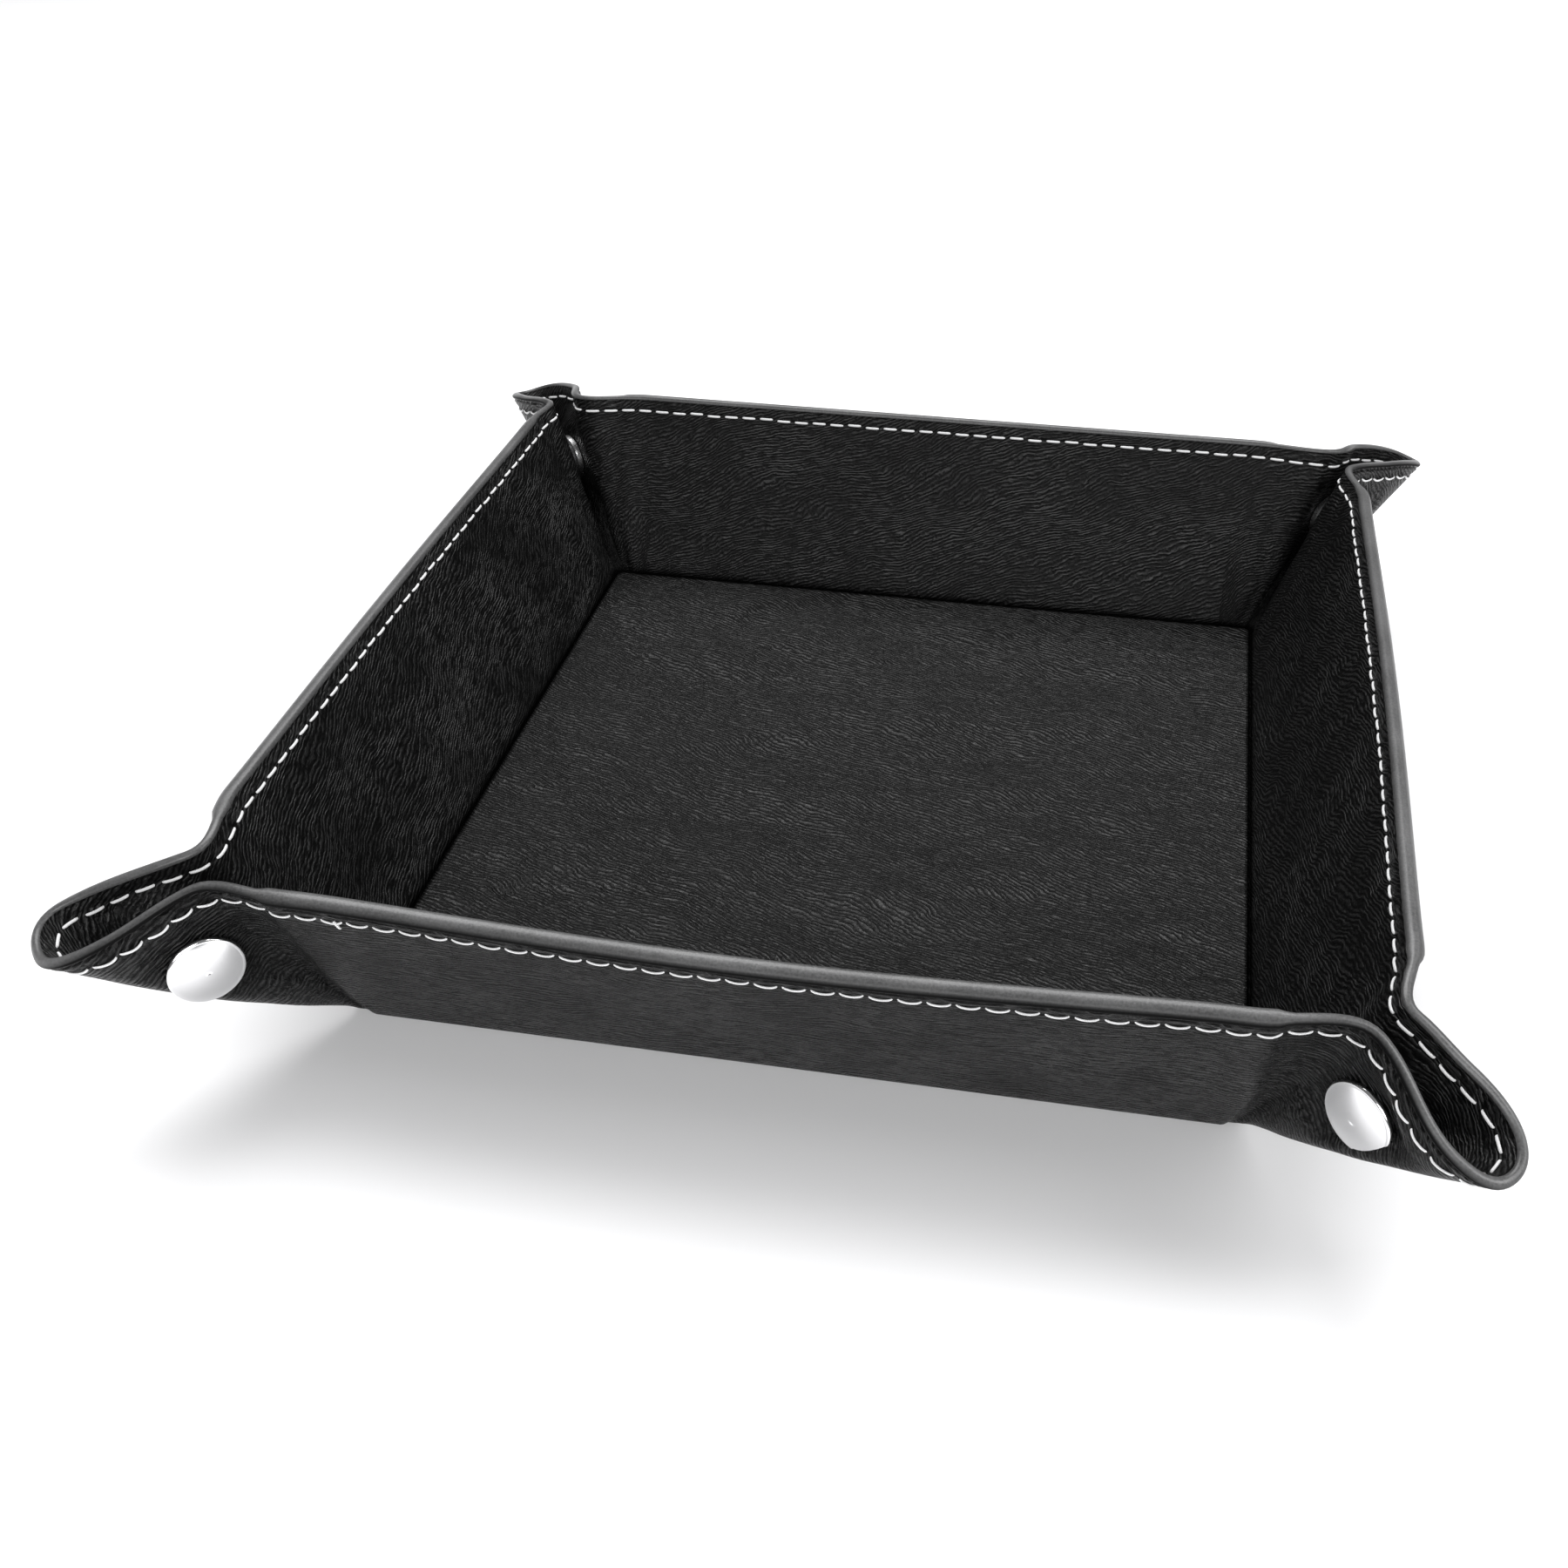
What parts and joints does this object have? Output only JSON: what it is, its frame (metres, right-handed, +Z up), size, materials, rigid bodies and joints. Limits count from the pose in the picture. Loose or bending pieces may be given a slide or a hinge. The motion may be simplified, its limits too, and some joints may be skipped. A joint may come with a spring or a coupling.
{
  "type": "folding dice tray",
  "caption": "Square folding dice tray with flared leather-covered walls, stitched rims and corners pinched into folds by snap fasteners, opening out flat.",
  "frame": {"origin": "centre of the base's underside, where the tray rests", "axes": "+X right along the front wall, +Y to the back wall, +Z up out of the tray"},
  "size_m": [0.2288, 0.2288, 0.0413],
  "materials": {
    "leather": "satin, fine wrinkled grain",
    "board": "matt",
    "thread": "twisted thread",
    "polished_metal": "polished",
    "snap_metal": "plated, satin"
  },
  "bodies": {
    "base": {"base_outer_leather": "leather", "base_board": "board", "base_inner_leather": "leather"},
    "front_wall": {"front_wall_outer_leather": "leather", "front_wall_board": "board", "front_wall_inner_leather": "leather", "front_wall_thread": "thread"},
    "front_wall_right_corner": {"front_wall_right_fold_outer_leather": "leather", "front_wall_right_fold_inner_leather": "leather", "front_wall_right_fold_thread": "thread", "front_right_snap_cap": "polished_metal", "front_right_snap_socket": "snap_metal"},
    "front_wall_left_corner": {"front_wall_left_fold_outer_leather": "leather", "front_wall_left_fold_inner_leather": "leather", "front_wall_left_fold_thread": "thread", "front_left_snap_cap": "polished_metal", "front_left_snap_socket": "snap_metal"},
    "right_wall": {"right_wall_outer_leather": "leather", "right_wall_board": "board", "right_wall_inner_leather": "leather", "right_wall_thread": "thread"},
    "right_wall_back_corner": {"right_wall_back_fold_outer_leather": "leather", "right_wall_back_fold_inner_leather": "leather", "right_wall_back_fold_thread": "thread", "back_right_snap_stud": "snap_metal", "back_right_snap_post": "snap_metal"},
    "right_wall_front_corner": {"right_wall_front_fold_outer_leather": "leather", "right_wall_front_fold_inner_leather": "leather", "right_wall_front_fold_thread": "thread", "front_right_snap_stud": "snap_metal", "front_right_snap_post": "snap_metal"},
    "back_wall": {"back_wall_outer_leather": "leather", "back_wall_board": "board", "back_wall_inner_leather": "leather", "back_wall_thread": "thread"},
    "back_wall_left_corner": {"back_wall_left_fold_outer_leather": "leather", "back_wall_left_fold_inner_leather": "leather", "back_wall_left_fold_thread": "thread", "back_left_snap_cap": "polished_metal", "back_left_snap_socket": "snap_metal"},
    "back_wall_right_corner": {"back_wall_right_fold_outer_leather": "leather", "back_wall_right_fold_inner_leather": "leather", "back_wall_right_fold_thread": "thread", "back_right_snap_cap": "polished_metal", "back_right_snap_socket": "snap_metal"},
    "left_wall": {"left_wall_outer_leather": "leather", "left_wall_board": "board", "left_wall_inner_leather": "leather", "left_wall_thread": "thread"},
    "left_wall_front_corner": {"left_wall_front_fold_outer_leather": "leather", "left_wall_front_fold_inner_leather": "leather", "left_wall_front_fold_thread": "thread", "front_left_snap_stud": "snap_metal", "front_left_snap_post": "snap_metal"},
    "left_wall_back_corner": {"left_wall_back_fold_outer_leather": "leather", "left_wall_back_fold_inner_leather": "leather", "left_wall_back_fold_thread": "thread", "back_left_snap_stud": "snap_metal", "back_left_snap_post": "snap_metal"}
  },
  "joints": [
    {"name": "front_wall_fold", "type": "hinge", "parent": "base", "child": "front_wall", "pos_m": [0, -0.078, 0.00143], "axis": [1, 0, 0], "range_deg": [0, 66]},
    {"name": "front_wall_right_corner_hinge", "type": "hinge", "parent": "front_wall", "child": "front_wall_right_corner", "pos_m": [0.08588, -0.08953, 0.02585], "axis": [0.3768, -0.3768, 0.8462], "range_deg": [0, 49.76]},
    {"name": "front_wall_left_corner_hinge", "type": "hinge", "parent": "front_wall", "child": "front_wall_left_corner", "pos_m": [-0.08588, -0.08953, 0.02585], "axis": [0.3768, 0.3768, -0.8462], "range_deg": [0, 49.76]},
    {"name": "right_wall_fold", "type": "hinge", "parent": "base", "child": "right_wall", "pos_m": [0.078, 0, 0.00143], "axis": [0, 1, 0], "range_deg": [0, 66]},
    {"name": "right_wall_back_corner_hinge", "type": "hinge", "parent": "right_wall", "child": "right_wall_back_corner", "pos_m": [0.08953, 0.08588, 0.02585], "axis": [0.3768, 0.3768, 0.8462], "range_deg": [0, 49.76]},
    {"name": "right_wall_front_corner_hinge", "type": "hinge", "parent": "right_wall", "child": "right_wall_front_corner", "pos_m": [0.08953, -0.08588, 0.02585], "axis": [-0.3768, 0.3768, -0.8462], "range_deg": [0, 49.76]},
    {"name": "back_wall_fold", "type": "hinge", "parent": "base", "child": "back_wall", "pos_m": [0, 0.078, 0.00143], "axis": [-1, 0, 0], "range_deg": [0, 66]},
    {"name": "back_wall_left_corner_hinge", "type": "hinge", "parent": "back_wall", "child": "back_wall_left_corner", "pos_m": [-0.08588, 0.08953, 0.02585], "axis": [-0.3768, 0.3768, 0.8462], "range_deg": [0, 49.76]},
    {"name": "back_wall_right_corner_hinge", "type": "hinge", "parent": "back_wall", "child": "back_wall_right_corner", "pos_m": [0.08588, 0.08953, 0.02585], "axis": [-0.3768, -0.3768, -0.8462], "range_deg": [0, 49.76]},
    {"name": "left_wall_fold", "type": "hinge", "parent": "base", "child": "left_wall", "pos_m": [-0.078, 0, 0.00143], "axis": [0, -1, 0], "range_deg": [0, 66]},
    {"name": "left_wall_front_corner_hinge", "type": "hinge", "parent": "left_wall", "child": "left_wall_front_corner", "pos_m": [-0.08953, -0.08588, 0.02585], "axis": [-0.3768, -0.3768, 0.8462], "range_deg": [0, 49.76]},
    {"name": "left_wall_back_corner_hinge", "type": "hinge", "parent": "left_wall", "child": "left_wall_back_corner", "pos_m": [-0.08953, 0.08588, 0.02585], "axis": [0.3768, -0.3768, -0.8462], "range_deg": [0, 49.76]}
  ],
  "couplings": [
    {"joint": "front_wall_right_corner_hinge", "follows": "front_wall_fold", "ratio": 0.75396},
    {"joint": "front_wall_left_corner_hinge", "follows": "front_wall_fold", "ratio": 0.75396},
    {"joint": "right_wall_fold", "follows": "front_wall_fold", "ratio": 1},
    {"joint": "right_wall_back_corner_hinge", "follows": "front_wall_fold", "ratio": 0.75396},
    {"joint": "right_wall_front_corner_hinge", "follows": "front_wall_fold", "ratio": 0.75396},
    {"joint": "back_wall_fold", "follows": "front_wall_fold", "ratio": 1},
    {"joint": "back_wall_left_corner_hinge", "follows": "front_wall_fold", "ratio": 0.75396},
    {"joint": "back_wall_right_corner_hinge", "follows": "front_wall_fold", "ratio": 0.75396},
    {"joint": "left_wall_fold", "follows": "front_wall_fold", "ratio": 1},
    {"joint": "left_wall_front_corner_hinge", "follows": "front_wall_fold", "ratio": 0.75396},
    {"joint": "left_wall_back_corner_hinge", "follows": "front_wall_fold", "ratio": 0.75396}
  ]
}
